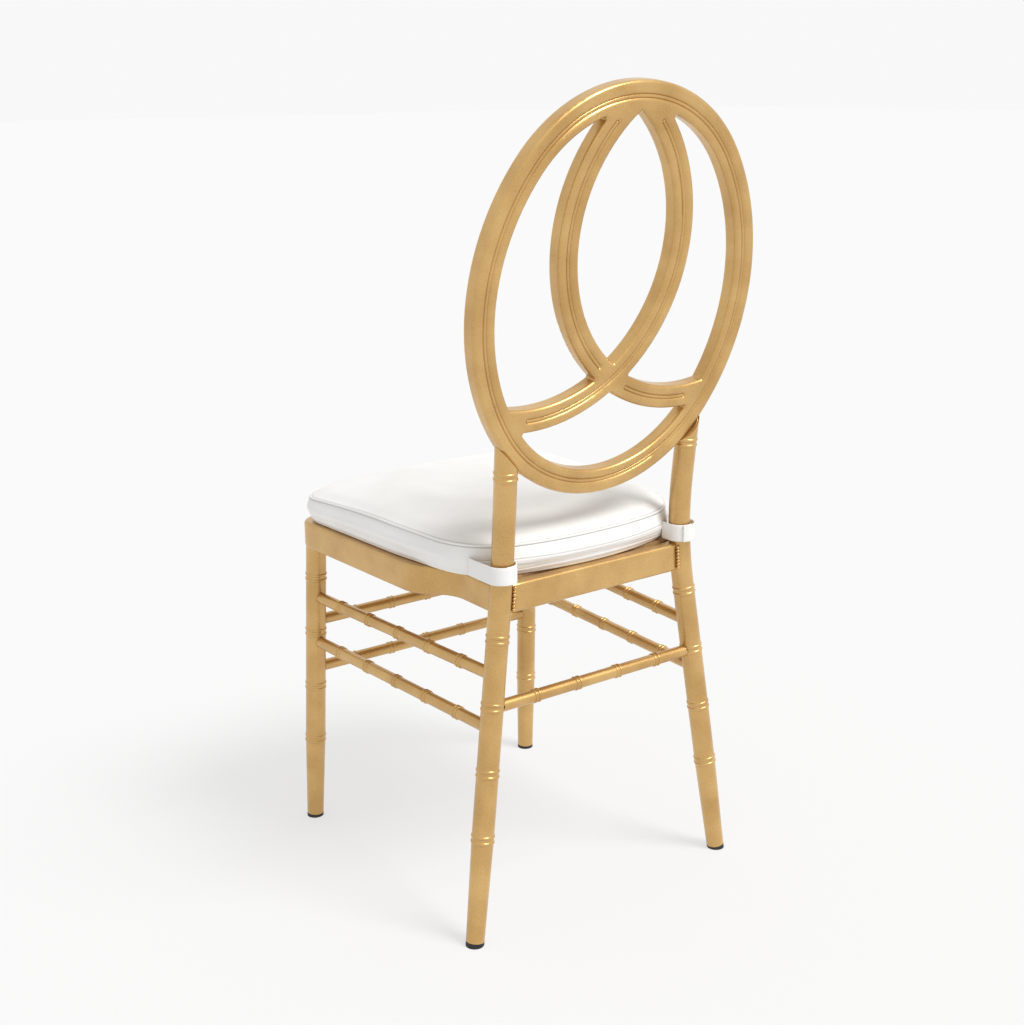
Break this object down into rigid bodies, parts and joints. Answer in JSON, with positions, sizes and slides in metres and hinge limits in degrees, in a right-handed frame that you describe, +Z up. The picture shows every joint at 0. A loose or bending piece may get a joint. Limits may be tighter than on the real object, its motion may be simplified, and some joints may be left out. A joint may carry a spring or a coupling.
{
  "type": "banquet chair",
  "caption": "Banquet dining chair: cast oval back crossed by interlaced arcs, slim round tube legs and stretchers with bead rings, flat tube seat band and a strapped-on boxed cushion.",
  "frame": {"origin": "on the floor, under the middle of the chair's outer size", "axes": "+Z up, +X to the left hand of the person sitting, -Y the way that person faces"},
  "size_m": [0.3892, 0.4374, 0.9234],
  "materials": {
    "gold_coated_aluminium": "satin",
    "glide_plastic": "matte",
    "plywood": "matte",
    "screw_steel": "satin",
    "cushion_vinyl": "satin",
    "cushion_foam": "matte",
    "strap_webbing": "matte"
  },
  "bodies": {
    "frame": {"back_oval": "gold_coated_aluminium", "rear_post_left": "gold_coated_aluminium", "rear_post_right": "gold_coated_aluminium", "front_leg_left": "gold_coated_aluminium", "front_leg_right": "gold_coated_aluminium", "side_stretcher_lower_left": "gold_coated_aluminium", "side_stretcher_lower_right": "gold_coated_aluminium", "side_stretcher_upper_left": "gold_coated_aluminium", "side_stretcher_upper_right": "gold_coated_aluminium", "front_stretcher_lower": "gold_coated_aluminium", "front_stretcher_upper": "gold_coated_aluminium", "rear_stretcher": "gold_coated_aluminium", "seat_band": "gold_coated_aluminium", "rear_rail": "gold_coated_aluminium", "rail_weld_beads": "gold_coated_aluminium", "panel_tabs": "gold_coated_aluminium", "foot_glide_front_left": "glide_plastic", "foot_glide_front_right": "glide_plastic", "foot_glide_rear_left": "glide_plastic", "foot_glide_rear_right": "glide_plastic", "seat_panel": "plywood", "panel_screws": "screw_steel"},
    "cushion": {"cushion_cover": "cushion_vinyl", "cushion_foam": "cushion_foam", "strap_tab_left": "strap_webbing", "strap_tab_right": "strap_webbing"},
    "strap_flap_left": {"strap_flap_left": "strap_webbing"},
    "strap_flap_right": {"strap_flap_right": "strap_webbing"}
  },
  "joints": [
    {"name": "cushion_lift", "type": "slide", "parent": "frame", "child": "cushion", "axis": [0, 0, 1], "range_m": [0, 0.025]},
    {"name": "strap_left_open", "type": "hinge", "parent": "cushion", "child": "strap_flap_left", "pos_m": [0.14602, 0.11036, 0.418], "axis": [0, 0, -1], "range_deg": [0, 100]},
    {"name": "strap_right_open", "type": "hinge", "parent": "cushion", "child": "strap_flap_right", "pos_m": [-0.14602, 0.11036, 0.418], "axis": [0, 0, 1], "range_deg": [0, 100]}
  ]
}
